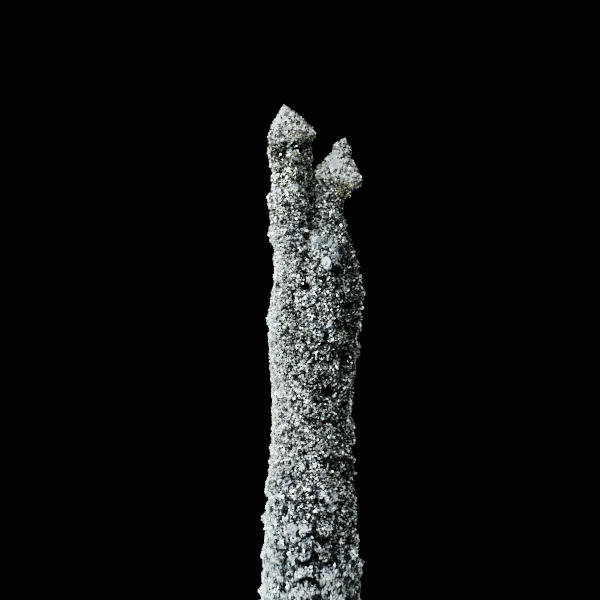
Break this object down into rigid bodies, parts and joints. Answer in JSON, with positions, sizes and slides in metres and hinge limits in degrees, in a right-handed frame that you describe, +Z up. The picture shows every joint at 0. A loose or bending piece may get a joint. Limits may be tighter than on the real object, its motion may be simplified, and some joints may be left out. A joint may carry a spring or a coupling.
{
  "type": "pyrite crystal cluster",
  "caption": "Slender silver-grey column of small metallic crystals that forks at the top into two stems, each ending in an octahedral crystal, cut off flat at the foot.",
  "frame": {"origin": "middle of the cluster's outline on the plane of its flat cut foot", "axes": "+Z up along the column; the two tips stand side by side along X, the taller at -X; the front faces -Y"},
  "size_m": [0.0154, 0.0138, 0.08],
  "materials": {
    "crystal_metal": "metallic silver-grey sulphide crystal, glittering facets"
  },
  "bodies": {
    "root": {"crystal_cluster": "crystal_metal"}
  },
  "joints": []
}
